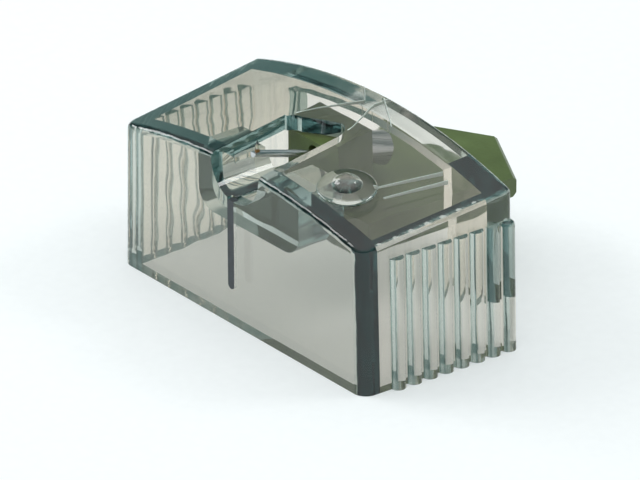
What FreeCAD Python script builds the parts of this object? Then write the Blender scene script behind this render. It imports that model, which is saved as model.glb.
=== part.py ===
import FreeCAD, Part
import math
import os
import Sketcher

# A replacement stylus for a moving-magnet cartridge, lying with its record side up.
# X runs along the grip, Y from the notched front to the back, Z up from the table.
# All lengths are millimetres, and y is counted from the grip's front face until the last placement.

Vector = FreeCAD.Vector
doc = FreeCAD.newDocument("turntable_stylus")
sheet = doc.addObject("Spreadsheet::Sheet", "Sizes")


class Size:
    """A number together with the sheet expression that gives it."""

    def __init__(self, value, text):
        self.value = value
        self.text = text

    def _joined(self, other, sign, value):
        return Size(value, f"({self.text} {sign} {sized(other).text})")

    def __add__(self, other):
        return self._joined(other, "+", self.value + sized(other).value)

    def __sub__(self, other):
        return self._joined(other, "-", self.value - sized(other).value)

    def __mul__(self, other):
        return self._joined(other, "*", self.value * sized(other).value)

    def __truediv__(self, other):
        return self._joined(other, "/", self.value / sized(other).value)

    def __neg__(self):
        return Size(-self.value, f"(0 - {self.text})")


def sized(number):
    return number if isinstance(number, Size) else Size(float(number), str(number))


def root(length):
    return Size(math.sqrt(length.value), f"sqrt({length.text})")


rows_used = 0


def size(name, number):
    """Writes one driving dimension into the sheet and returns it."""
    global rows_used
    rows_used += 1
    sheet.set(f"A{rows_used}", name)
    sheet.set(f"B{rows_used}", number)
    sheet.setAlias(f"B{rows_used}", name)
    return Size(float(number), f"Sizes.{name}")


# Grip: outer form
front_length = size("front_length", "15.0")
back_length = size("back_length", "15.8")
grip_depth = size("grip_depth", "7.4")
end_flare = size("end_flare", "0.19")
front_end_height = size("front_end_height", "6.25")
back_end_height = size("back_end_height", "6.9")
front_rise = size("front_rise", "0.9")
back_rise = size("back_rise", "1.25")
edge_round = size("edge_round", "0.3")
corner_round = size("corner_round", "0.6")

# Grip: walls
end_wall = size("end_wall", "0.8")
front_wall = size("front_wall", "1.15")
back_wall = size("back_wall", "0.95")
roof_thickness = size("roof_thickness", "0.65")

# Grip: finger ribs on both ends
rib_count = 8
rib_front_margin = size("rib_front_margin", "1.7")
rib_back_margin = size("rib_back_margin", "0.31")
rib_radius = size("rib_radius", "0.32")
rib_height = size("rib_height", "0.3")
rib_top = size("rib_top", "5.6")
rib_round = size("rib_round", "0.2")

# Grip: notch, saddle and slot around the needle, and the cue line below the notch
needle_offset = size("needle_offset", "0.25")
notch_radius = size("notch_radius", "1.5")
notch_height = size("notch_height", "6.95")
saddle_half = size("saddle_half", "3.15")
saddle_floor = size("saddle_floor", "1.3")
saddle_back = size("saddle_back", "2.75")
saddle_round = size("saddle_round", "0.9")
slot_bridge = size("slot_bridge", "3.0")
slot_round = size("slot_round", "0.7")
slot_skew = size("slot_skew", "0.35")
cue_width = size("cue_width", "0.4")
cue_depth = size("cue_depth", "0.3")
cue_bottom = size("cue_bottom", "1.55")
cue_offset = size("cue_offset", "0.28")

# Grip: opening in the back wall, and the gate mark on the roof
doorway_half = size("doorway_half", "4.77")
doorway_lintel = size("doorway_lintel", "1.2")
back_sill = size("back_sill", "1.95")
gate_x = size("gate_x", "4.15")
gate_y = size("gate_y", "2.1")
gate_lens_radius = size("gate_lens_radius", "1.2")
gate_lens_height = size("gate_lens_height", "0.22")
gate_dome_radius = size("gate_dome_radius", "0.68")
gate_dome_height = size("gate_dome_height", "0.58")

# Carrier: block under the roof, and the tail that plugs into the cartridge
crack_width = size("crack_width", "0.035")
crack_depth = size("crack_depth", "0.2")
tail_half_width = size("tail_half_width", "3.4")
tail_top = size("tail_top", "4.25")
tail_thickness = size("tail_thickness", "0.85")
tail_reach = size("tail_reach", "4.3")
tail_taper = size("tail_taper", "1.9")
tail_chamfer = size("tail_chamfer", "0.15")
block_half_width = size("block_half_width", "1.6")
block_reveal = size("block_reveal", "0.4")
block_clearance = size("block_clearance", "0.75")
block_headroom = size("block_headroom", "0.13")

# Needle: the axis and everything strung along it
needle_angle = size("needle_angle", "17")
pivot_inset = size("pivot_inset", "1.2")
pivot_cover = size("pivot_cover", "1.05")
needle_length = size("needle_length", "4.45")
needle_radius = size("needle_radius", "0.15")
needle_bore = size("needle_bore", "0.08")
needle_stub = size("needle_stub", "0.7")
needle_end_plug = size("needle_end_plug", "0.7")
needle_passage = size("needle_passage", "0.33")
tip_setback = size("tip_setback", "0.2")
seat_depth = size("seat_depth", "0.06")
tip_radius = size("tip_radius", "0.075")
tip_shank = size("tip_shank", "0.28")
tip_cone = size("tip_cone", "0.2")
tip_flat = size("tip_flat", "0.012")
cement_radius = size("cement_radius", "0.115")
cement_height = size("cement_height", "0.1")
damper_thickness = size("damper_thickness", "0.5")
damper_play = size("damper_play", "0.03")
damper_gap = size("damper_gap", "0.04")
sleeve_inner = size("sleeve_inner", "0.58")
sleeve_wall = size("sleeve_wall", "0.12")
sleeve_lip = size("sleeve_lip", "0.12")
sleeve_lip_play = size("sleeve_lip_play", "0.09")
sleeve_rear = size("sleeve_rear", "2.4")
magnet_radius = size("magnet_radius", "0.4")
magnet_length = size("magnet_length", "1.1")
wire_radius = size("wire_radius", "0.03")
wire_reach = size("wire_reach", "0.25")
anchor_length = size("anchor_length", "0.5")
bond_gap = size("bond_gap", "0.005")

doc.recompute()

# Lengths that follow from the sizes above
CUT_OVERRUN = sized(1.0)
SAME_POINT = 0.001
FULL_TURN = 360.0
UPRIGHT = 90
# How far the middle of a rounded corner lies from both its sides, as a share of its radius
CORNER_SAG = 1 - math.sqrt(0.5)
zero = sized(0.0)


def arch_radius(half_length, rise):
    return (half_length * half_length + rise * rise) / (rise * 2)


def axis_plane(body, role):
    return next(feature for feature in body.Origin.OriginFeatures if feature.Role == role)


def new_body(label):
    body = doc.addObject("PartDesign::Body", label)
    body.Label = label
    return body


def new_sketch(body, name, role, offset=zero):
    """A sketch on one of the body's own planes, moved along that plane's normal."""
    sketch = body.newObject("Sketcher::SketchObject", name)
    sketch.AttachmentSupport = [(axis_plane(body, role), "")]
    sketch.MapMode = "FlatFace"
    sketch.AttachmentOffset = FreeCAD.Placement(Vector(0, 0, offset.value), FreeCAD.Rotation())
    sketch.setExpression("AttachmentOffset.Base.z", offset.text)
    return sketch


def bind(sketch, constraint, length):
    index = sketch.addConstraint(constraint)
    sketch.setExpression(f"Constraints[{index}]", length.text)


def pin(sketch, geometry, point, x, y):
    """Holds a point of the sketch at (x, y) from the sketch's origin."""
    bind(sketch, Sketcher.Constraint("DistanceX", -1, 1, geometry, point, x.value), x)
    bind(sketch, Sketcher.Constraint("DistanceY", -1, 1, geometry, point, y.value), y)


def outline(sketch, corners, arcs=None):
    """A closed outline; arcs gives the radius, or None for a half circle between points that are level,
    and a point on the way, for the sides that are round."""
    arcs = arcs or {}
    points = [Vector(x.value, y.value, 0) for x, y in corners]
    ends = []
    for side, start in enumerate(points):
        stop = points[(side + 1) % len(points)]
        if side in arcs:
            radius, way = arcs[side]
            curve = Part.Arc(start, Vector(way[0].value, way[1].value, 0), stop)
            geometry = sketch.addGeometry(curve, False)
            forward = sketch.Geometry[geometry].StartPoint.distanceToPoint(start) < SAME_POINT
            ends.append((geometry, 1, 2) if forward else (geometry, 2, 1))
            if radius is None:
                level = corners[side][1]
                bind(sketch, Sketcher.Constraint("DistanceY", -1, 1, geometry, 3, level.value), level)
            else:
                bind(sketch, Sketcher.Constraint("Radius", geometry, radius.value), radius)
        else:
            ends.append((sketch.addGeometry(Part.LineSegment(start, stop), False), 1, 2))
    for side, (geometry, first, last) in enumerate(ends):
        following = ends[(side + 1) % len(ends)]
        sketch.addConstraint(Sketcher.Constraint("Coincident", geometry, last, following[0], following[1]))
        pin(sketch, geometry, first, *corners[side])


def circle(sketch, x, y, radius):
    shape = Part.Circle(Vector(x.value, y.value, 0), Vector(0, 0, 1), radius.value)
    geometry = sketch.addGeometry(shape, False)
    bind(sketch, Sketcher.Constraint("Radius", geometry, radius.value), radius)
    pin(sketch, geometry, 3, x, y)


def feature(body, kind, name, profile, length=None, backwards=False):
    """A pad or pocket of the profile; backwards turns it to the other side of the sketch."""
    before = 0.0 if body.Shape.isNull() else body.Shape.Volume
    item = body.newObject(kind, name)
    item.Profile = profile
    if length is not None:
        item.Length = length.value
        item.setExpression("Length", length.text)
    item.Reversed = backwards
    doc.recompute()
    grows = body.Shape.Volume > before + SAME_POINT
    shrinks = body.Shape.Volume < before - SAME_POINT
    if not (grows if kind == "PartDesign::Pad" else shrinks):
        raise RuntimeError(f"{name} changes nothing")
    return item


def loft(body, kind, name, first, second):
    item = body.newObject(kind, name)
    item.Profile = first
    item.Sections = [second]
    item.Ruled = True
    doc.recompute()
    return item


def section_at(y):
    """The grip's half length, end height and roof rise at one depth."""
    share = y / grip_depth
    half_length = (front_length + (back_length - front_length) * share) / 2
    end_height = front_end_height + (back_end_height - front_end_height) * share
    rise = front_rise + (back_rise - front_rise) * share
    return half_length, end_height, rise


def roof_height(x, y):
    """The roof's height above the table at one place in plan."""
    half_length, end_height, rise = section_at(y)
    across = x / half_length
    return end_height + rise - rise * across * across


def block_top(y):
    """The top of the carrier's block, which lies close under the roof."""
    return roof_height(zero, y) - roof_thickness - block_headroom


def crack_line(name, *points):
    """The points of one crack, each written as its place along the grip and its distance from the back."""
    placed = []
    for number, (x, from_back) in enumerate(points, start=1):
        x = size(f"{name}_x{number}", x)
        placed.append((x, grip_depth - size(f"{name}_back{number}", from_back)))
    return placed


cracks = {
    "left_crack": crack_line(
        "left_crack", ("-1.5", "3.25"), ("-1.14", "2.5"), ("-0.1", "0.9"), ("-1.1", "0.1")
    ),
    "right_crack": crack_line(
        "right_crack", ("1.15", "2.8"), ("1.1", "2.5"), ("0.45", "0.92"), ("0.57", "0.07")
    ),
    "branch_crack": crack_line("branch_crack", ("2.17", "1.41"), ("0.4", "0.32")),
    "end_crack": crack_line("end_crack", ("4.83", "4.53"), ("5.7", "1.76")),
    "outer_crack": crack_line("outer_crack", ("5.52", "4.58"), ("6.2", "1.91")),
}
rib_pitch = (grip_depth - rib_front_margin - rib_back_margin) / (rib_count - 1)
rib_width = rib_radius * 2
needle_x = -needle_offset
cue_x = needle_x - cue_offset
roof_clear = back_end_height + back_rise + CUT_OVERRUN
slot_back = grip_depth - slot_bridge
slot_left = slot_back - slot_skew
slot_right = slot_back + slot_skew
block_front = slot_back - block_reveal
block_back = grip_depth - back_wall - block_clearance
tail_shoulder = grip_depth + tail_reach
tail_point = tail_shoulder + tail_taper
pivot_y = block_front + pivot_inset
pivot_z = block_top(pivot_y) - pivot_cover
sleeve_face = damper_thickness / 2 + damper_gap
sleeve_front = sleeve_face + sleeve_lip


def arch_sketch(body, name, y, bottom, wall=zero, roof=zero):
    """The grip's section at one depth, set in by a wall and a roof: leaning ends under an arch."""
    half_length, end_height, rise = section_at(y)
    lean = end_flare / end_height
    foot = half_length + lean * (end_height - bottom) - wall
    side = half_length + lean * roof - wall
    radius = arch_radius(half_length, rise) - roof
    crown = end_height + rise - roof
    top = crown - radius + root(radius * radius - side * side)
    sketch = new_sketch(body, name, "XZ_Plane", -y)
    corners = [(-foot, bottom), (foot, bottom), (side, top), (-side, top)]
    outline(sketch, corners, {2: (radius, (zero, crown))})
    return sketch


def cut_rim(body):
    """Trims the outer form level with the table."""
    sketch = new_sketch(body, "rim_plan", "XY_Plane")
    corners = [
        (-back_length, -grip_depth),
        (back_length, -grip_depth),
        (back_length, grip_depth * 2),
        (-back_length, grip_depth * 2),
    ]
    outline(sketch, corners)
    return feature(body, "PartDesign::Pocket", "rim", sketch, CUT_OVERRUN)


def place(body, x, y, z, tilt=None):
    """Sets the body so that the whole stylus is centred on the table under the origin."""
    shift = y - tail_point / 2
    turn = FreeCAD.Rotation(Vector(1, 0, 0), tilt.value) if tilt else FreeCAD.Rotation()
    body.Placement = FreeCAD.Placement(Vector(x.value, shift.value, z.value), turn)
    for axis, length in (("x", x), ("y", shift), ("z", z)):
        body.setExpression(f"Placement.Base.{axis}", length.text)


def round_edges(body, name, solid, radius, wanted):
    """Rounds the wanted edges of a solid; each is judged by its lowest and highest point and itself."""
    names = []
    for number, edge in enumerate(solid.Shape.Edges, start=1):
        heights = [vertex.Z for vertex in edge.Vertexes]
        if wanted(min(heights), max(heights), edge):
            names.append(f"Edge{number}")
    fillet = body.newObject("PartDesign::Fillet", name)
    fillet.Base = (solid, names)
    fillet.Radius = radius.value
    fillet.setExpression("Radius", radius.text)
    doc.recompute()
    return fillet


def rib_sketch(body):
    """One row of ribs in plan, following the end wall's slant from front to back."""
    sketch = new_sketch(body, "rib_row", "XY_Plane")
    rib_x = front_length / 2 + end_flare - rib_radius + rib_height
    slant = (back_length - front_length) / 2 / grip_depth
    for index in range(rib_count):
        y = rib_front_margin + rib_pitch * index
        circle(sketch, rib_x + slant * y, y, rib_radius)
    return sketch


def add_ribs(body):
    """Upright half-round ribs with rounded tops, alike on both ends."""
    ribs = feature(body, "PartDesign::Pad", "ribs", rib_sketch(body), rib_top)
    ribs.UseCustomVector = True
    ribs.Direction = Vector(-end_flare.value / front_end_height.value, 0, 1)
    mirrored = body.newObject("PartDesign::Mirrored", "ribs_other_end")
    mirrored.Originals = [ribs]
    mirrored.MirrorPlane = (axis_plane(body, "YZ_Plane"), [""])
    body.Tip = mirrored
    doc.recompute()

    def on_rib_top(low, high, edge):
        level = rib_top.value - SAME_POINT < low and high < rib_top.value + SAME_POINT
        return level and edge.Length > rib_width.value

    round_edges(body, "rib_tops", mirrored, rib_round, on_rib_top)


def add_gate_mark(body):
    """The moulding gate: a low lens lying on the sloping roof, with a small dome on it."""
    roof = roof_height(gate_x, gate_y)
    span = gate_lens_radius * 2
    uphill_x = roof_height(gate_x + gate_lens_radius, gate_y) - roof_height(gate_x - gate_lens_radius, gate_y)
    uphill_y = roof_height(gate_x, gate_y + gate_lens_radius) - roof_height(gate_x, gate_y - gate_lens_radius)
    lens = body.newObject("PartDesign::AdditiveEllipsoid", "gate_lens")
    square_to_roof = Vector(-uphill_x.value, -uphill_y.value, span.value)
    lens.Placement.Rotation = FreeCAD.Rotation(Vector(0, 0, 1), square_to_roof)
    radii = {"Radius1": gate_lens_height, "Radius2": gate_lens_radius, "Radius3": gate_lens_radius}
    for name, radius in radii.items():
        setattr(lens, name, radius.value)
        lens.setExpression(name, radius.text)
    dome = body.newObject("PartDesign::AdditiveSphere", "gate_dome")
    dome.Radius = gate_dome_radius.value
    dome.setExpression("Radius", gate_dome_radius.text)
    centre = roof + gate_dome_height - gate_dome_radius
    for item, height in ((lens, roof), (dome, centre)):
        for axis, length in (("x", gate_x), ("y", gate_y), ("z", height)):
            item.setExpression(f"Placement.Base.{axis}", length.text)
    doc.recompute()


def round_outer_edges(body, solid):
    """Rounds the two upright front corners well, then the back ones and the roof's whole rim a little."""
    shoulder = front_end_height.value / 2
    halfway = grip_depth.value / 2

    def front_corner(low, high, edge):
        return low < shoulder < high and edge.Vertexes[0].Y < halfway

    def rim_or_back_corner(low, high, edge):
        return low > shoulder or (low < shoulder < high and edge.Vertexes[0].Y > halfway)

    corners = round_edges(body, "soft_corners", solid, corner_round, front_corner)
    round_edges(body, "soft_rim", corners, edge_round, rim_or_back_corner)


def add_saddle(body):
    """The thick saddle behind the notch, hanging from the roof and the front wall."""
    left, right = -saddle_half, saddle_half
    low = notch_height - notch_radius - saddle_floor
    high = front_end_height + front_rise - roof_thickness
    sketch = new_sketch(body, "saddle_section", "XZ_Plane", -front_wall / 2)
    corners = [
        (left, high),
        (left, low + saddle_round),
        (left + saddle_round, low),
        (right - saddle_round, low),
        (right, low + saddle_round),
        (right, high),
    ]
    near = saddle_round * CORNER_SAG
    arcs = {
        1: (saddle_round, (left + near, low + near)),
        3: (saddle_round, (right - near, low + near)),
    }
    outline(sketch, corners, arcs)
    feature(body, "PartDesign::Pad", "saddle", sketch, saddle_back - front_wall / 2, True)


def cut_notch(body):
    """The round-bottomed notch through the front wall and the saddle."""
    left, right = needle_x - notch_radius, needle_x + notch_radius
    sketch = new_sketch(body, "notch_section", "XZ_Plane", CUT_OVERRUN)
    corners = [(right, roof_clear), (left, roof_clear), (left, notch_height), (right, notch_height)]
    outline(sketch, corners, {2: (None, (needle_x, notch_height - notch_radius))})
    feature(body, "PartDesign::Pocket", "notch", sketch, saddle_back + CUT_OVERRUN * 2)


def cut_slot(body):
    """The slot in the roof that carries the notch on to the carrier's block."""
    left, right = needle_x - notch_radius, needle_x + notch_radius
    sketch = new_sketch(body, "slot_plan", "XY_Plane", roof_clear)
    corners = [
        (left, front_wall),
        (right, front_wall),
        (right, slot_right - slot_round),
        (right - slot_round, slot_right),
        (left + slot_round, slot_left),
        (left, slot_left - slot_round),
    ]
    near = slot_round * CORNER_SAG
    arcs = {
        2: (slot_round, (right - near, slot_right - near)),
        4: (slot_round, (left + near, slot_left - near)),
    }
    outline(sketch, corners, arcs)
    feature(body, "PartDesign::Pocket", "slot", sketch, roof_clear - notch_height + roof_thickness)


def cut_crack(body, name, points):
    """A hairline crack in the roof: a narrow groove through points given in plan, from front to back."""
    middle_x = (points[0][0] + points[-1][0]) / 2
    middle_y = (points[0][1] + points[-1][1]) / 2
    sketch = new_sketch(body, f"{name}_plan", "XY_Plane", roof_height(middle_x, middle_y) - crack_depth)
    left_side = [(x - crack_width / 2, y) for x, y in points]
    right_side = [(x + crack_width / 2, y) for x, y in points]
    outline(sketch, right_side + left_side[::-1])
    feature(body, "PartDesign::Pocket", name, sketch, CUT_OVERRUN, True)


def cue_sketch(body, top, gap=zero):
    """The cue line: an upright stroke with a rounded foot, from the notch down."""
    half = cue_width / 2 - gap
    foot = cue_bottom + cue_width / 2
    sketch = new_sketch(body, "cue_line_outline", "XZ_Plane")
    corners = [(cue_x + half, top), (cue_x - half, top), (cue_x - half, foot), (cue_x + half, foot)]
    outline(sketch, corners, {2: (None, (cue_x, foot - half))})
    return sketch


def cut_doorway(body):
    """Opens the back wall for the tail, and lifts what is left of it off the table."""
    inner = back_length / 2 - end_wall
    radius = arch_radius(back_length / 2, back_rise) - doorway_lintel
    crown = back_end_height + back_rise - doorway_lintel
    spring = crown - radius + root(radius * radius - doorway_half * doorway_half)
    sketch = new_sketch(body, "doorway_outline", "XZ_Plane", -(grip_depth + CUT_OVERRUN))
    corners = [
        (-inner, -CUT_OVERRUN),
        (inner, -CUT_OVERRUN),
        (inner, back_sill),
        (doorway_half, back_sill),
        (doorway_half, spring),
        (-doorway_half, spring),
        (-doorway_half, back_sill),
        (-inner, back_sill),
    ]
    outline(sketch, corners, {4: (radius, (zero, crown))})
    feature(body, "PartDesign::Pocket", "doorway", sketch, back_wall + CUT_OVERRUN * 2, True)


def make_grip_housing():
    body = new_body("grip_housing")
    front = arch_sketch(body, "front_outline", zero, -CUT_OVERRUN / 2)
    back = arch_sketch(body, "back_outline", grip_depth, -CUT_OVERRUN / 2)
    loft(body, "PartDesign::AdditiveLoft", "outer_form", back, front)
    round_outer_edges(body, cut_rim(body))
    add_ribs(body)
    add_gate_mark(body)
    depth = grip_depth - back_wall
    front = arch_sketch(body, "front_hollow", front_wall, -CUT_OVERRUN, end_wall, roof_thickness)
    back = arch_sketch(body, "back_hollow", depth, -CUT_OVERRUN, end_wall, roof_thickness)
    loft(body, "PartDesign::SubtractiveLoft", "hollow", back, front)
    add_saddle(body)
    cut_notch(body)
    cut_slot(body)
    for name, points in cracks.items():
        cut_crack(body, name, points)
    cue_groove = cue_sketch(body, notch_height - notch_radius + cue_width)
    feature(body, "PartDesign::Pocket", "cue_groove", cue_groove, cue_depth)
    cut_doorway(body)
    place(body, zero, zero, zero)
    return body


def make_cue_line():
    """The dark paint that fills the cue groove."""
    body = new_body("cue_line")
    stroke = cue_sketch(body, notch_height - notch_radius, bond_gap)
    feature(body, "PartDesign::Pad", "cue_paint", stroke, cue_depth - bond_gap, True)
    place(body, zero, zero, zero)
    return body


def taper_tail_point(body, tail):
    """Chamfers the two pointed sides of the tail above and below, to lead it into the cartridge."""
    names = []
    for number, edge in enumerate(tail.Shape.Edges, start=1):
        box = edge.BoundBox
        if box.YMax > tail_shoulder.value + tail_chamfer.value and box.ZLength < tail_chamfer.value:
            names.append(f"Edge{number}")
    chamfer = body.newObject("PartDesign::Chamfer", "tail_lead_in")
    chamfer.Base = (tail, names)
    chamfer.Size = tail_chamfer.value
    chamfer.setExpression("Size", tail_chamfer.text)
    doc.recompute()


def drill(body, name, radius, start, length):
    """A round hole along the needle's axis; start is counted forwards from the pivot."""
    hole = body.newObject("PartDesign::SubtractiveCylinder", name)
    hole.Radius = radius.value
    hole.setExpression("Radius", radius.text)
    hole.Height = length.value
    hole.setExpression("Height", length.text)
    turn = FreeCAD.Rotation(Vector(1, 0, 0), UPRIGHT - needle_angle.value)
    pivot = Vector(needle_x.value, pivot_y.value, pivot_z.value)
    hole.Placement = FreeCAD.Placement(pivot + turn.multVec(Vector(0, 0, start.value)), turn)
    doc.recompute()


def make_stylus_carrier():
    body = new_body("stylus_carrier")
    sketch = new_sketch(body, "tail_plan", "XY_Plane", tail_top - tail_thickness)
    corners = [
        (needle_x - tail_half_width, block_front),
        (needle_x + tail_half_width, block_front),
        (needle_x + tail_half_width, tail_shoulder),
        (needle_x, tail_point),
        (needle_x - tail_half_width, tail_shoulder),
    ]
    outline(sketch, corners)
    tail = feature(body, "PartDesign::Pad", "tail", sketch, tail_thickness)
    taper_tail_point(body, tail)

    sketch = new_sketch(body, "block_side", "YZ_Plane", needle_x - block_half_width)
    corners = [
        (block_front, tail_top - tail_thickness),
        (block_back, tail_top - tail_thickness),
        (block_back, block_top(block_back)),
        (block_front, block_top(block_front)),
    ]
    outline(sketch, corners)
    feature(body, "PartDesign::Pad", "block", sketch, block_half_width * 2)

    sleeve_outer = sleeve_inner + sleeve_wall + bond_gap
    drill(body, "sleeve_bore", sleeve_outer, -sleeve_rear, sleeve_rear + sleeve_front + bond_gap)
    drill(body, "needle_way", needle_passage, zero, needle_length)
    place(body, zero, zero, zero)
    return body


def make_turned(label, corners):
    """A turned piece from its half section, given as (radius, place along the needle's axis)."""
    body = new_body(label)
    sketch = new_sketch(body, label + "_section", "XZ_Plane")
    outline(sketch, corners)
    turning = body.newObject("PartDesign::Revolution", label + "_turning")
    turning.Profile = sketch
    turning.ReferenceAxis = (sketch, ["V_Axis"])
    turning.Angle = FULL_TURN
    doc.recompute()
    return body


def on_needle_axis(body):
    place(body, needle_x, pivot_y, pivot_z, sized(UPRIGHT) - needle_angle)
    return body


def make_pivot_sleeve():
    outer = sleeve_inner + sleeve_wall
    lip = needle_radius + sleeve_lip_play
    corners = [
        (sleeve_inner, -sleeve_rear),
        (outer, -sleeve_rear),
        (outer, sleeve_front),
        (lip, sleeve_front),
        (lip, sleeve_face),
        (sleeve_inner, sleeve_face),
    ]
    return on_needle_axis(make_turned("pivot_sleeve", corners))


def make_suspension_damper():
    half = damper_thickness / 2
    inner = needle_radius + damper_play
    outer = sleeve_inner - damper_play
    corners = [(inner, -half), (outer, -half), (outer, half), (inner, half)]
    return on_needle_axis(make_turned("suspension_damper", corners))


def make_cantilever():
    corners = [
        (needle_bore, -needle_stub),
        (needle_radius, -needle_stub),
        (needle_radius, needle_length),
        (zero, needle_length),
        (zero, needle_length - needle_end_plug),
        (needle_bore, needle_length - needle_end_plug),
    ]
    body = make_turned("cantilever", corners)
    seat = body.newObject("PartDesign::SubtractiveBox", "tip_seat")
    reach = needle_radius * 4
    for side in ("Length", "Width", "Height"):
        setattr(seat, side, reach.value)
        seat.setExpression(side, reach.text)
    level = FreeCAD.Rotation(Vector(1, 0, 0), needle_angle.value - UPRIGHT)
    middle = Vector(0, needle_radius.value - seat_depth.value, needle_length.value - tip_setback.value)
    corner = level.multVec(Vector(-reach.value / 2, -reach.value / 2, 0))
    seat.Placement = FreeCAD.Placement(middle + corner, level)
    doc.recompute()
    return on_needle_axis(body)


def tip_seat():
    """The middle of the flat that the tip stands on, as (y, z)."""
    angle = math.radians(needle_angle.value)
    along = needle_length - tip_setback
    across = needle_radius - seat_depth
    y = pivot_y - along * math.cos(angle) + across * math.sin(angle)
    z = pivot_z + along * math.sin(angle) + across * math.cos(angle)
    return y, z


def make_diamond_tip():
    top = tip_shank + tip_cone
    corners = [(zero, zero), (tip_radius, zero), (tip_radius, tip_shank), (tip_flat, top), (zero, top)]
    body = make_turned("diamond_tip", corners)
    place(body, needle_x, *tip_seat())
    return body


def make_tip_cement():
    inner = tip_radius + bond_gap
    brim = inner + bond_gap
    corners = [(inner, zero), (cement_radius, zero), (brim, cement_height), (inner, cement_height)]
    body = make_turned("tip_cement", corners)
    place(body, needle_x, *tip_seat())
    return body


def make_armature_magnet():
    front = -sleeve_face
    inner = needle_radius + bond_gap
    back = front - magnet_length
    corners = [(inner, back), (magnet_radius, back), (magnet_radius, front), (inner, front)]
    return on_needle_axis(make_turned("armature_magnet", corners))


def make_suspension_wire():
    corners = [
        (zero, -sleeve_rear),
        (wire_radius, -sleeve_rear),
        (wire_radius, -wire_reach),
        (zero, -wire_reach),
    ]
    return on_needle_axis(make_turned("suspension_wire", corners))


def make_wire_anchor():
    inner = wire_radius + bond_gap
    outer = sleeve_inner - bond_gap
    front = anchor_length - sleeve_rear
    corners = [(inner, -sleeve_rear), (outer, -sleeve_rear), (outer, front), (inner, front)]
    return on_needle_axis(make_turned("wire_anchor", corners))


pieces = [
    make_grip_housing(),
    make_cue_line(),
    make_stylus_carrier(),
    make_pivot_sleeve(),
    make_suspension_damper(),
    make_cantilever(),
    make_diamond_tip(),
    make_tip_cement(),
    make_armature_magnet(),
    make_suspension_wire(),
    make_wire_anchor(),
]
doc.recompute()

failed = [item.Label for item in doc.Objects if "Invalid" in item.State or "Error" in item.State]
failed += [body.Label for body in pieces if body.Shape.isNull() or not body.Shape.isValid()]
if failed:
    raise RuntimeError("not built: " + ", ".join(failed))

os.makedirs("parts", exist_ok=True)
for body in pieces:
    body.Shape.exportStep(f"parts/{body.Label}.step")
    box = body.Shape.BoundBox
    print(body.Label, len(body.Shape.Solids), round(body.Shape.Volume, 4),
          [round(v, 3) for v in (box.XMin, box.XMax, box.YMin, box.YMax, box.ZMin, box.ZMax)])
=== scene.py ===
# %% [markdown]
# A turntable stylus, dressed for its picture.
# The real one is a clear plastic grip, 17 mm wide, with a green carrier inside it that holds the needle.
# Its shapes are CAD solids, which the lesson loads as a fixed frame. Only the tie wire is modelled again,
# because it has to bend. Every piece then gets the finish of its real material, and floor, light and
# camera come last.

# %% Load the frame
import math

import bpy
from mathutils import Matrix, Vector


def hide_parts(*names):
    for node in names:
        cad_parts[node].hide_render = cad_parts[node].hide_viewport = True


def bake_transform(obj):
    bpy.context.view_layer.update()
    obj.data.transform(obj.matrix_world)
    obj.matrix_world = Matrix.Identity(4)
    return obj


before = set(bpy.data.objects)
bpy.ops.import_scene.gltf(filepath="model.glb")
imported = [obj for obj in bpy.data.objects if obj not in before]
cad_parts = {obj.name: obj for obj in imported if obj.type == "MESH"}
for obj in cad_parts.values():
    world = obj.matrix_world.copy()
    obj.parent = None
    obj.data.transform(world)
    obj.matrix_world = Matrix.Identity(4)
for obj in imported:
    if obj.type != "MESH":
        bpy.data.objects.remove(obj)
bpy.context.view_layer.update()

MM = 0.001

# %% [markdown]
# Colours are written as sRGB hex values, as a paint program shows them, but Blender counts in linear light.
# They could be converted by hand, and a slip would be hard to see, so one function does it for all of them.


# %% Colours in linear light
def linear(hex_colour):
    """An sRGB hex colour as linear red, green, blue and a full alpha."""
    channels = [int(hex_colour[i:i + 2], 16) / 255 for i in (1, 3, 5)]
    return tuple(c / 12.92 if c <= 0.04045 else ((c + 0.055) / 1.055) ** 2.4 for c in channels) + (1.0,)


print("middle grey in linear light:", round(linear("#808080")[0], 3))

# %% [markdown]
# Every finish here is a small net of nodes. They could be clicked together one by one in the shader editor.
# In a script one function is enough: it adds a node, sets its options, and fills or links its sockets.


# %% Nodes and materials
def add_node(tree, kind, sockets=None, **options):
    """Adds a node; sockets maps an input's name or number to a value or to another node's output."""
    node = tree.nodes.new(kind)
    for name, value in options.items():
        setattr(node, name, value)
    for name, value in (sockets or {}).items():
        if isinstance(value, bpy.types.NodeSocket):
            tree.links.new(value, node.inputs[name])
        else:
            node.inputs[name].default_value = value
    return node


def new_material(name):
    """An empty material, its node tree and the Object coordinates of the piece that wears it."""
    material = bpy.data.materials.new(name)
    material.use_nodes = True
    material.node_tree.nodes.clear()
    place = add_node(material.node_tree, "ShaderNodeTexCoord").outputs["Object"]
    return material, material.node_tree, place


def dress(piece_name, material):
    """Gives a CAD piece its material."""
    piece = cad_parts[piece_name]
    piece.data.materials.clear()
    piece.data.materials.append(material)
    print(piece_name, "wears", material.name)


def ramp_between(tree, value, low, high, low_colour, high_colour):
    """A colour ramp: one colour up to the value low, another from the value high on."""
    ramp = add_node(tree, "ShaderNodeValToRGB", {"Fac": value})
    for stop, position, colour in zip(ramp.color_ramp.elements, (low, high), (low_colour, high_colour)):
        stop.position = position
        stop.color = linear(colour)
    return ramp.outputs["Color"]


# %% [markdown]
# A pattern is only believable at its real size. Blender's textures count how often they repeat in a metre,
# so a size in millimetres is turned over once, here, and each finish below names its own grain in
# millimetres.


# %% Pattern scale
def per_metre(size_mm):
    """The texture scale at which a pattern's features are size_mm across."""
    return 1 / (size_mm * MM)


print("a 2 mm pattern has the scale", per_metre(2))

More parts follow.
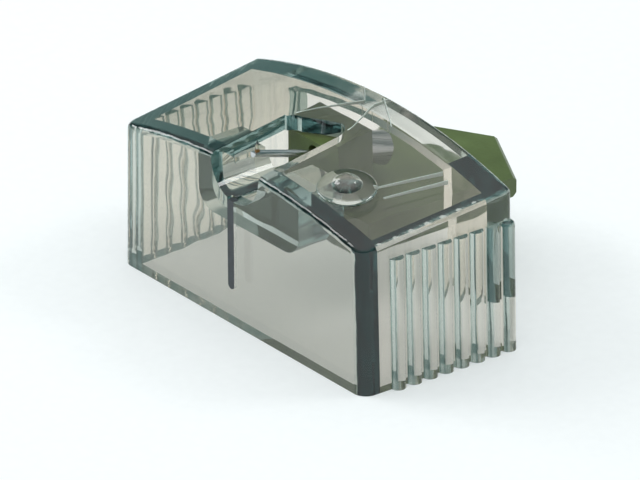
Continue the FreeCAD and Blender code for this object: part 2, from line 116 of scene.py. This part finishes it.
# %% [markdown]
# The hairline cracks in the roof are grooves in the CAD solid, thinner than a tenth of a millimetre.
# On the real grip they glint, because light scatters on their broken faces. A bright line could be modelled
# along each, but the plastic itself turns white there, so the finish needs to know where the cracks run.
# Each crack is a row of points in plan, and the distance to the nearest stretch is worked out in nodes.
# The underside of the roof lies below the same points and stays clear, so faces that look down don't count.

# %% Where the cracks run
CRACKS = [
    [(-1.5, -2.65), (-1.14, -1.9), (-0.1, -0.3), (-1.1, 0.5)],
    [(1.15, -2.2), (1.1, -1.9), (0.45, -0.32), (0.57, 0.53)],
    [(2.17, -0.81), (0.4, 0.28)],
    [(4.83, -3.93), (5.7, -1.16)],
    [(5.52, -3.98), (6.2, -1.31)],
]
CRACK_REACH = 0.019 * MM
FAR_OFF = 1.0
DOWNWARD = -0.3


def not_downward(tree):
    """One on faces that look up or sideways, whichever side is met, and nought on those that look down."""
    face = add_node(tree, "ShaderNodeNewGeometry").outputs
    rise = add_node(tree, "ShaderNodeSeparateXYZ", {"Vector": face["True Normal"]}).outputs["Z"]
    side = add_node(tree, "ShaderNodeMath", {
        0: face["Backfacing"], 1: -2.0, 2: 1.0,
    }, operation="MULTIPLY_ADD").outputs[0]
    outward = add_node(tree, "ShaderNodeMath", {0: rise, 1: side}, operation="MULTIPLY").outputs[0]
    return add_node(tree, "ShaderNodeMath", {0: outward, 1: DOWNWARD}, operation="GREATER_THAN").outputs[0]


def in_plan(tree, place):
    """The place as seen from above, its height taken out."""
    return add_node(tree, "ShaderNodeVectorMath", {0: place, 1: (1, 1, 0)}, operation="MULTIPLY").outputs[0]


def crack_mask(tree, place):
    """One on the roof within reach of a crack, and nought elsewhere."""
    flat = in_plan(tree, place)
    nearest = FAR_OFF
    for crack in CRACKS:
        for start, end in zip(crack, crack[1:]):
            start, end = Vector((*start, 0)) * MM, Vector((*end, 0)) * MM
            run = (end - start).normalized()
            offset = add_node(tree, "ShaderNodeVectorMath", {
                0: flat, 1: start,
            }, operation="SUBTRACT").outputs[0]
            along = add_node(tree, "ShaderNodeVectorMath", {
                0: offset, 1: run,
            }, operation="DOT_PRODUCT").outputs["Value"]
            kept = add_node(tree, "ShaderNodeClamp", {
                "Value": along, "Min": 0.0, "Max": (end - start).length,
            }).outputs[0]
            foot = add_node(tree, "ShaderNodeVectorMath", {
                0: run, "Scale": kept,
            }, operation="SCALE").outputs[0]
            gap = add_node(tree, "ShaderNodeVectorMath", {
                0: offset, 1: foot,
            }, operation="DISTANCE").outputs["Value"]
            nearest = add_node(tree, "ShaderNodeMath", {0: gap, 1: nearest}, operation="MINIMUM").outputs[0]
    near = add_node(tree, "ShaderNodeMath", {0: nearest, 1: CRACK_REACH}, operation="LESS_THAN")
    return add_node(tree, "ShaderNodeMath", {
        0: near.outputs[0], 1: not_downward(tree),
    }, operation="MULTIPLY").outputs[0]


print("stretches of crack:", sum(len(crack) - 1 for crack in CRACKS))

# %% [markdown]
# Where the runner was broken off the moulding, a small bead is left, and its skin is a little frosted.
# A second material on it would need its own faces. A soft round mask about the bead's middle is simpler.

# %% Where the bead is
BEAD_MIDDLE = Vector((4.15, -4.7, 0)) * MM
BEAD_RADIUS = 0.68 * MM
BEAD_CORE = 0.85 * BEAD_RADIUS


def bead_mask(tree, place):
    """One on the bead, fading out just past its foot."""
    gap = add_node(tree, "ShaderNodeVectorMath", {
        0: in_plan(tree, place), 1: BEAD_MIDDLE,
    }, operation="DISTANCE")
    fade = add_node(tree, "ShaderNodeMapRange", {
        "Value": gap.outputs["Value"],
        "From Min": BEAD_RADIUS, "From Max": BEAD_CORE, "To Min": 0.0, "To Max": 1.0,
    })
    return add_node(tree, "ShaderNodeMath", {
        0: fade.outputs["Result"], 1: not_downward(tree),
    }, operation="MULTIPLY").outputs[0]


print("bead width in mm:", round(2 * BEAD_RADIUS / MM, 2))

# %% [markdown]
# The grip is moulded in smoky clear styrene and is as glossy as its polished mould was.
# It could be painted grey and half see-through, but clear plastic darkens with the depth that light crosses.
# So its surface is nearly colourless and its body absorbs: thin walls stay pale and warm, and thick edges
# turn slate green by themselves. The walls of a cheap moulding are never quite flat, so a shallow swell
# bends what is seen through them, and handling leaves a fine uneven haze.

# %% Smoky clear styrene
SWELL_MM = 2.2
SWELL_DEPTH = 0.03 * MM
HAZE_MM = 0.4
CRACK_WHITENESS = 0.9
BEAD_FROSTING = 0.1
WHITE_ROUGHNESS = 0.6
ABSORBED_PER_METRE = 420.0


def make_smoky_styrene():
    """Clear to the eye where thin, slate green where thick, with a slow swell and a faint haze."""
    material, tree, place = new_material("smoky_clear_styrene")
    swell = add_node(tree, "ShaderNodeTexNoise", {
        "Vector": place, "Scale": per_metre(SWELL_MM), "Detail": 1.0,
    })
    bump = add_node(tree, "ShaderNodeBump", {
        "Strength": 1.0, "Distance": SWELL_DEPTH, "Height": swell.outputs["Fac"],
    })
    rubbed = add_node(tree, "ShaderNodeTexNoise", {
        "Vector": place, "Scale": per_metre(HAZE_MM), "Detail": 4.0,
    })
    haze = add_node(tree, "ShaderNodeMapRange", {
        "Value": rubbed.outputs["Fac"],
        "From Min": 0.35, "From Max": 0.7, "To Min": 0.01, "To Max": 0.06,
    })
    frosted = add_node(tree, "ShaderNodeMath", {
        0: bead_mask(tree, place), 1: BEAD_FROSTING,
    }, operation="MULTIPLY")
    white = add_node(tree, "ShaderNodeMath", {
        0: crack_mask(tree, place), 1: CRACK_WHITENESS, 2: frosted.outputs[0],
    }, operation="MULTIPLY_ADD", use_clamp=True).outputs[0]
    roughness = add_node(tree, "ShaderNodeMath", {
        0: white, 1: WHITE_ROUGHNESS, 2: haze.outputs[0],
    }, operation="MULTIPLY_ADD")
    clear = add_node(tree, "ShaderNodeMath", {0: 1.0, 1: white}, operation="SUBTRACT")
    surface = add_node(tree, "ShaderNodeBsdfPrincipled", {
        "Base Color": ramp_between(tree, white, 0.2, 0.8, "#FFF2E8", "#F2FAF4"),
        "Roughness": roughness.outputs[0],
        "IOR": 1.57,
        "Transmission Weight": clear.outputs[0],
        "Normal": bump.outputs["Normal"],
    })
    body = add_node(tree, "ShaderNodeVolumeAbsorption", {
        "Color": linear("#BBD5D6"), "Density": ABSORBED_PER_METRE,
    })
    add_node(tree, "ShaderNodeOutputMaterial", {
        "Surface": surface.outputs["BSDF"], "Volume": body.outputs["Volume"],
    })
    return material


dress("grip_housing", make_smoky_styrene())

# %% [markdown]
# The cue line below the notch is a groove filled with dark enamel. It shows where the needle goes down.
# Hand-filled paint is uneven, so its tone and its gloss both drift over a fraction of a millimetre.


# %% Cue line enamel
def make_cue_enamel():
    """Dark slate paint, half gloss, a little uneven along the stroke."""
    material, tree, place = new_material("slate_cue_enamel")
    flow = add_node(tree, "ShaderNodeTexNoise", {
        "Vector": place, "Scale": per_metre(0.35), "Detail": 3.0,
    }).outputs["Fac"]
    gloss = add_node(tree, "ShaderNodeMapRange", {"Value": flow, "To Min": 0.3, "To Max": 0.6})
    surface = add_node(tree, "ShaderNodeBsdfPrincipled", {
        "Base Color": ramp_between(tree, flow, 0.3, 0.7, "#1F252A", "#343A40"),
        "Roughness": gloss.outputs["Result"],
    })
    add_node(tree, "ShaderNodeOutputMaterial", {"Surface": surface.outputs["BSDF"]})
    return material


dress("cue_line", make_cue_enamel())

# %% [markdown]
# The carrier is the coloured block that plugs into the cartridge, moulded in olive green ABS.
# ABS is opaque and satin, with a fine texture that the spark-eroded mould leaves. The grain of about 0.1 mm
# would be lost at this picture's size, so it is drawn at 0.2 mm, with a slow drift of tone underneath.


# %% Green ABS
def make_green_abs():
    """Olive green, satin, with a fine moulded grain and slightly cloudy colour."""
    material, tree, place = new_material("olive_moulded_abs")
    cloud = add_node(tree, "ShaderNodeTexNoise", {
        "Vector": place, "Scale": per_metre(1.6), "Detail": 2.0,
    }).outputs["Fac"]
    grain = add_node(tree, "ShaderNodeTexNoise", {
        "Vector": place, "Scale": per_metre(0.2), "Detail": 2.0,
    }).outputs["Fac"]
    satin = add_node(tree, "ShaderNodeMapRange", {"Value": grain, "To Min": 0.28, "To Max": 0.5})
    bump = add_node(tree, "ShaderNodeBump", {"Strength": 0.5, "Distance": 0.01 * MM, "Height": grain})
    surface = add_node(tree, "ShaderNodeBsdfPrincipled", {
        "Base Color": ramp_between(tree, cloud, 0.3, 0.7, "#485828", "#566836"),
        "Roughness": satin.outputs["Result"],
        "IOR": 1.54,
        "Normal": bump.outputs["Normal"],
    })
    add_node(tree, "ShaderNodeOutputMaterial", {"Surface": surface.outputs["BSDF"]})
    return material


dress("stylus_carrier", make_green_abs())

# %% [markdown]
# The pivot sleeve, the cantilever and the tie wire are all pulled through dies, which leaves fine lines
# along them. The lines could follow a UV map, but all three lie on the needle's axis, so a Mapping node
# that is tilted with the needle stretches a noise along it: long the one way, a few hundredths of a
# millimetre across.

# %% Drawn metal
NEEDLE_ANGLE = math.radians(17)
DRAWN_LENGTH_MM = 2.5


def along_needle(tree, place, across_mm, along_mm):
    """Coordinates on the needle's axis, counted in steps of across_mm and along_mm."""
    return add_node(tree, "ShaderNodeMapping", {
        "Vector": place, "Rotation": (-NEEDLE_ANGLE, 0, 0),
        "Scale": (across_mm * MM, along_mm * MM, across_mm * MM),
    }, vector_type="TEXTURE").outputs[0]


def make_drawn_metal(name, dull, bright, line_mm, roughness):
    """Metal with lines along the needle's axis; dull and bright are the colours of the lines."""
    material, tree, place = new_material(name)
    scratch = add_node(tree, "ShaderNodeTexNoise", {
        "Vector": along_needle(tree, place, line_mm, DRAWN_LENGTH_MM), "Scale": 1.0, "Detail": 3.0,
    }).outputs["Fac"]
    polish = add_node(tree, "ShaderNodeMapRange", {
        "Value": scratch, "To Min": roughness * 0.6, "To Max": roughness * 1.6,
    })
    bump = add_node(tree, "ShaderNodeBump", {
        "Strength": 0.4, "Distance": line_mm * MM * 0.2, "Height": scratch,
    })
    surface = add_node(tree, "ShaderNodeBsdfPrincipled", {
        "Base Color": ramp_between(tree, scratch, 0.3, 0.7, dull, bright),
        "Metallic": 1.0,
        "Roughness": polish.outputs["Result"],
        "Normal": bump.outputs["Normal"],
    })
    add_node(tree, "ShaderNodeOutputMaterial", {"Surface": surface.outputs["BSDF"]})
    return material


dress("pivot_sleeve", make_drawn_metal("drawn_steel_tube", "#8E9092", "#B6B8BA", 0.05, 0.28))
dress("cantilever", make_drawn_metal("drawn_aluminium_tube", "#B4B7BA", "#D9DBDD", 0.03, 0.22))

# %% [markdown]
# The tie wire holds the needle back against its rubber. It is fixed in the anchor and ends in the needle's
# hollow root, so the real wire bends when the needle sways. A rigid solid can't, and would touch the bore
# when both sways meet, so the wire is modelled again here at the solid's size. A disc is extruded in short
# steps along the needle's axis, so that it can curve, and the two cut ends get a small bevel.

# %% Tie wire
PIVOT = Vector((-0.25, -1.6, 6.0227)) * MM
NEEDLE_AXIS = Vector((0, -math.cos(NEEDLE_ANGLE), math.sin(NEEDLE_ANGLE)))
WIRE_RADIUS = 0.03 * MM
WIRE_REAR = PIVOT - NEEDLE_AXIS * 2.4 * MM
WIRE_FRONT = PIVOT - NEEDLE_AXIS * 0.25 * MM
WIRE_STEPS = 12

bpy.ops.object.select_all(action="DESELECT")
bpy.ops.mesh.primitive_circle_add(
    vertices=16, radius=WIRE_RADIUS, fill_type="NGON",
    location=WIRE_REAR, rotation=NEEDLE_AXIS.to_track_quat("Z", "Y").to_euler(),
)
tie_wire = bpy.context.object
tie_wire.name = "tie_wire"
bpy.ops.object.transform_apply(location=True, rotation=True, scale=True)
bpy.ops.object.mode_set(mode="EDIT")
bpy.ops.mesh.select_all(action="SELECT")
wire_step = (WIRE_FRONT - WIRE_REAR) / WIRE_STEPS
for _ in range(WIRE_STEPS):
    bpy.ops.mesh.extrude_region_move(TRANSFORM_OT_translate={"value": wire_step})
bpy.ops.mesh.select_all(action="DESELECT")
bpy.ops.mesh.select_mode(type="EDGE")
bpy.ops.object.mode_set(mode="OBJECT")
for edge in tie_wire.data.edges:
    ends = [tie_wire.data.vertices[number].co for number in edge.vertices]
    edge.select = any(
        all(abs((end - rim).dot(NEEDLE_AXIS)) < WIRE_RADIUS / 10 for end in ends)
        for rim in (WIRE_REAR, WIRE_FRONT)
    )
bpy.ops.object.mode_set(mode="EDIT")
bpy.ops.mesh.bevel(offset=WIRE_RADIUS / 4, segments=2)
bpy.ops.mesh.select_all(action="SELECT")
bpy.ops.mesh.normals_make_consistent(inside=False)
bpy.ops.object.mode_set(mode="OBJECT")
bpy.ops.object.shade_smooth_by_angle(angle=math.radians(35))
tie_wire.data.materials.append(make_drawn_metal("steel_tie_wire", "#98999B", "#B8B9BA", 0.02, 0.3))
print("tie wire faces:", len(tie_wire.data.polygons))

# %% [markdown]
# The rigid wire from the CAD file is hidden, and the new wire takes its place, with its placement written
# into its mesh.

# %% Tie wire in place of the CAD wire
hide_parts("suspension_wire")
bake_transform(tie_wire)

# %% [markdown]
# The damper is a ring of soft butyl rubber that the needle swings in. Rubber is matt and nearly black, and
# the talc that keeps it from sticking stays in its pores as pale specks. A cell pattern gives such specks.


# %% Butyl rubber
def make_butyl_rubber():
    """Matt black with pale dusty specks."""
    material, tree, place = new_material("dusted_butyl_rubber")
    pores = add_node(tree, "ShaderNodeTexVoronoi", {"Vector": place, "Scale": per_metre(0.12)})
    skin = add_node(tree, "ShaderNodeTexNoise", {"Vector": place, "Scale": per_metre(0.06), "Detail": 3.0})
    bump = add_node(tree, "ShaderNodeBump", {
        "Strength": 0.6, "Distance": 0.01 * MM, "Height": skin.outputs["Fac"],
    })
    surface = add_node(tree, "ShaderNodeBsdfPrincipled", {
        "Base Color": ramp_between(tree, pores.outputs["Distance"], 0.08, 0.25, "#4A4947", "#1C1C1D"),
        "Roughness": 0.65,
        "Normal": bump.outputs["Normal"],
    })
    add_node(tree, "ShaderNodeOutputMaterial", {"Surface": surface.outputs["BSDF"]})
    return material


dress("suspension_damper", make_butyl_rubber())

# %% [markdown]
# The tip is a ground diamond, which bends light more than anything else here and so glints on every edge.
# Industrial stones are straw yellow, so the body takes a little blue out of the light. The grinding wheel
# leaves faint rings round the cone, only microns apart. They are drawn 0.02 mm apart so that they can show.
# The bands of a wave texture lie tau / 20 apart at scale 1, so that length over 0.02 is the scale.

# %% Ground diamond
WAVE_SPACING = math.tau / 20


def make_diamond():
    """Clear, straw tinted and very shiny, with grinding rings that break its glint."""
    material, tree, place = new_material("ground_diamond")
    rings = add_node(tree, "ShaderNodeTexWave", {
        "Vector": along_needle(tree, place, 1, 1), "Scale": WAVE_SPACING / 0.02, "Distortion": 0.5,
    }, wave_type="BANDS", bands_direction="Z")
    polish = add_node(tree, "ShaderNodeMapRange", {
        "Value": rings.outputs["Fac"], "To Min": 0.01, "To Max": 0.06,
    })
    surface = add_node(tree, "ShaderNodeBsdfPrincipled", {
        "Base Color": linear("#FFF8E4"),
        "Roughness": polish.outputs["Result"],
        "IOR": 2.417,
        "Transmission Weight": 1.0,
    })
    body = add_node(tree, "ShaderNodeVolumeAbsorption", {"Color": linear("#F2DFA8"), "Density": 1500.0})
    add_node(tree, "ShaderNodeOutputMaterial", {
        "Surface": surface.outputs["BSDF"], "Volume": body.outputs["Volume"],
    })
    return material


dress("diamond_tip", make_diamond())

# %% [markdown]
# A bead of amber epoxy fixes the diamond in the flattened end of the cantilever. Cured epoxy is glossy and
# half clear, with small clouds where it was stirred, so light goes a little way in before it comes back.


# %% Amber epoxy
def make_amber_epoxy():
    """Glossy honey colour, half clear, slightly cloudy."""
    material, tree, place = new_material("amber_epoxy")
    stirred = add_node(tree, "ShaderNodeTexNoise", {
        "Vector": place, "Scale": per_metre(0.12), "Detail": 2.0,
    }).outputs["Fac"]
    gloss = add_node(tree, "ShaderNodeMapRange", {"Value": stirred, "To Min": 0.08, "To Max": 0.22})
    surface = add_node(tree, "ShaderNodeBsdfPrincipled", {
        "Base Color": ramp_between(tree, stirred, 0.3, 0.7, "#7A5526", "#A67C3C"),
        "Roughness": gloss.outputs["Result"],
        "IOR": 1.55,
        "Transmission Weight": 0.4,
    })
    add_node(tree, "ShaderNodeOutputMaterial", {"Surface": surface.outputs["BSDF"]})
    return material


dress("tip_cement", make_amber_epoxy())

# %% [markdown]
# The armature at the needle's inner end is a tiny sintered magnet, pressed from powder and left unplated.
# Such a metal is dark grey and dull, with grains that catch the light singly, so each cell of the pattern
# gets a tone of its own.


# %% Sintered magnet
def make_sintered_magnet():
    """Dark grey metal with a fine broken glitter."""
    material, tree, place = new_material("sintered_magnet")
    grains = add_node(tree, "ShaderNodeTexVoronoi", {"Vector": place, "Scale": per_metre(0.08)})
    surface = add_node(tree, "ShaderNodeBsdfPrincipled", {
        "Base Color": ramp_between(tree, grains.outputs["Color"], 0.2, 0.8, "#46484B", "#6E7073"),
        "Metallic": 1.0,
        "Roughness": 0.48,
    })
    add_node(tree, "ShaderNodeOutputMaterial", {"Surface": surface.outputs["BSDF"]})
    return material


dress("armature_magnet", make_sintered_magnet())

# %% [markdown]
# The anchor that the tie wire pulls against is turned from brass. A lathe tool leaves a groove per turn, so
# the lines run round the part: bands across the needle's axis, about 0.04 mm apart.


# %% Turned brass
def make_turned_brass():
    """Warm yellow metal with turning rings."""
    material, tree, place = new_material("turned_brass")
    rings = add_node(tree, "ShaderNodeTexWave", {
        "Vector": along_needle(tree, place, 1, 1), "Scale": WAVE_SPACING / 0.04, "Distortion": 1.0,
    }, wave_type="BANDS", bands_direction="Y").outputs["Fac"]
    bump = add_node(tree, "ShaderNodeBump", {"Strength": 0.4, "Distance": 0.005 * MM, "Height": rings})
    surface = add_node(tree, "ShaderNodeBsdfPrincipled", {
        "Base Color": ramp_between(tree, rings, 0.0, 1.0, "#A8884A", "#CBA962"),
        "Metallic": 1.0,
        "Roughness": 0.3,
        "Normal": bump.outputs["Normal"],
    })
    add_node(tree, "ShaderNodeOutputMaterial", {"Surface": surface.outputs["BSDF"]})
    return material


dress("wire_anchor", make_turned_brass())

# %% [markdown]
# The stylus stands on plain pale card that fills the picture. A floor that is only lit would go grey toward
# its far edge, and one that only glows would take no shadow. So the card is both: it stays a matt surface,
# with a share of even glow that the eye sees directly, in reflections and through the plastic alike.

# %% Floor
FLOOR_SIDE_MM = 1200
FLOOR_DROP_MM = 0.01
GLOW_SHARE = 0.35
PAPER = "#F8FDFE"

bpy.ops.object.select_all(action="DESELECT")
bpy.ops.mesh.primitive_plane_add(size=FLOOR_SIDE_MM * MM, location=(0, 0, -FLOOR_DROP_MM * MM))
bpy.ops.object.transform_apply(location=True, rotation=True, scale=True)
floor = bpy.context.object
floor.name = "floor"
print("floor side in mm:", round(floor.dimensions.x / MM))

material, tree, place = new_material("pale_card")
tooth = add_node(tree, "ShaderNodeTexNoise", {"Vector": place, "Scale": per_metre(0.5), "Detail": 2.0})
card = add_node(tree, "ShaderNodeBsdfDiffuse", {
    "Color": ramp_between(tree, tooth.outputs["Fac"], 0.3, 0.7, "#F2F6F7", "#F5F9FA"),
})
glow = add_node(tree, "ShaderNodeEmission", {"Color": linear(PAPER), "Strength": 1.0})
rays = add_node(tree, "ShaderNodeLightPath").outputs
seen = rays["Is Camera Ray"]
for kind in ("Is Glossy Ray", "Is Transmission Ray"):
    seen = add_node(tree, "ShaderNodeMath", {0: seen, 1: rays[kind]}, operation="MAXIMUM").outputs[0]
share = add_node(tree, "ShaderNodeMath", {0: seen, 1: GLOW_SHARE}, operation="MULTIPLY")
mix = add_node(tree, "ShaderNodeMixShader", {0: share.outputs[0], 1: card.outputs[0], 2: glow.outputs[0]})
add_node(tree, "ShaderNodeOutputMaterial", {"Surface": mix.outputs[0]})
floor.data.materials.append(material)

# %% [markdown]
# The studio round the table is a soft overhead light in a dim room. A clear object shows its surroundings
# in every edge, so an even white room would wash its outline away. The world therefore goes from slate
# green at the walls to white overhead, with a pale strip at the horizon, where the card runs out into the
# distance.

# %% Studio world
OVERHEAD = (0.06, -0.06, 0.99)
WALL_TOP, OVERHEAD_EDGE = 0.35, 0.92
HORIZON_TOP, HORIZON_END = 0.05, 0.07
WORLD_STRENGTH = 1.29

world = bpy.data.worlds.new("dim_studio")
bpy.context.scene.world = world
world.use_nodes = True
room = world.node_tree
room.nodes.clear()
look = add_node(room, "ShaderNodeTexCoord").outputs["Generated"]
height = add_node(room, "ShaderNodeSeparateXYZ", {"Vector": look}).outputs["Z"]
lean = add_node(room, "ShaderNodeVectorMath", {0: look, 1: OVERHEAD}, operation="DOT_PRODUCT")
walls = ramp_between(room, lean.outputs["Value"], WALL_TOP, OVERHEAD_EDGE, "#546F6E", "#FFFFFF")
horizon = ramp_between(room, height, HORIZON_TOP, HORIZON_END, "#FFFFFF", "#000000")
rays = add_node(room, "ShaderNodeLightPath").outputs
pale = add_node(room, "ShaderNodeMath", {0: horizon, 1: rays["Is Camera Ray"]}, operation="MAXIMUM")
colour = add_node(room, "ShaderNodeMix", {
    "Factor": pale.outputs[0], "A": walls, "B": linear(PAPER),
}, data_type="RGBA")
sky = add_node(room, "ShaderNodeBackground", {"Color": colour.outputs["Result"], "Strength": WORLD_STRENGTH})
add_node(room, "ShaderNodeOutputWorld", {"Surface": sky.outputs[0]})
print("world:", world.name)

# %% [markdown]
# Two lamps draw the white lines along the grip's rounded edges. A line shows where the lamp's mirror image
# lands on the edge. The front edge is arched, so each stretch of it mirrors another direction, and a round
# lamp would light a short piece only. A strip that runs through those directions lights the whole edge, and
# a second one from behind does the same for the right-hand end. Neither is seen through the plastic.


# %% Edge lamps
def add_strip_lamp(name, start_mm, end_mm, width_mm, watts):
    """A long soft lamp from start to end that faces the stylus."""
    start, end = Vector(start_mm) * MM, Vector(end_mm) * MM
    light = bpy.data.lights.new(name, "AREA")
    light.shape = "RECTANGLE"
    light.size = (end - start).length
    light.size_y = width_mm * MM
    light.energy = watts
    lamp = bpy.data.objects.new(name, light)
    lamp.visible_transmission = False
    bpy.context.scene.collection.objects.link(lamp)
    middle = (start + end) / 2
    away = middle.normalized()
    across = away.cross(end - start).normalized()
    turn = Matrix((across.cross(away), across, away)).transposed().to_quaternion()
    lamp.matrix_world = Matrix.LocRotScale(middle, turn, None)
    print(name, "lamp:", round(light.size / MM), "mm long,", watts, "W")


add_strip_lamp("front_edge", (-219, -66, 88), (-101, -148, 167), width_mm=70, watts=0.22)
add_strip_lamp("end_edge", (70, 165, 180), (130, 135, 180), width_mm=60, watts=0.1)

# %% [markdown]
# The camera stands where the photograph was taken: high at the front right corner, with a long lens.
# It could be aimed with a tracking constraint. Here its three axes are written out, worked out from the
# grip's edges in the picture, so its roll is the photograph's own.

# %% Camera
EYE_MM = Vector((166.00, -137.12, 109.91))
RIGHT = Vector((0.6308, 0.7759, -0.0039))
UP = Vector((-0.3461, 0.2859, 0.8936))
BACK = Vector((0.6945, -0.5624, 0.4489))

camera = bpy.data.objects.new("camera", bpy.data.cameras.new("camera"))
bpy.context.scene.collection.objects.link(camera)
camera.data.sensor_width = 36.0
camera.data.lens = 337.5
camera.data.clip_start = 10 * MM
turn = Matrix((RIGHT, UP, BACK)).transposed().to_quaternion().normalized()
camera.matrix_world = Matrix.LocRotScale(EYE_MM * MM, turn, None)
bpy.context.scene.camera = camera
bpy.context.scene.view_settings.view_transform = "Standard"
print("camera height in mm:", round(camera.location.z / MM))

# %% [markdown]
# Light that is caught between the two faces of a clear wall bounces many times before it leaves.
# With the usual four mirror bounces it is lost and the edges turn black, so the paths may be longer here.

# %% Light paths
light_paths = bpy.context.scene.cycles
light_paths.max_bounces = 32
light_paths.glossy_bounces = 24
light_paths.transmission_bounces = 24
print("bounces:", light_paths.max_bounces)
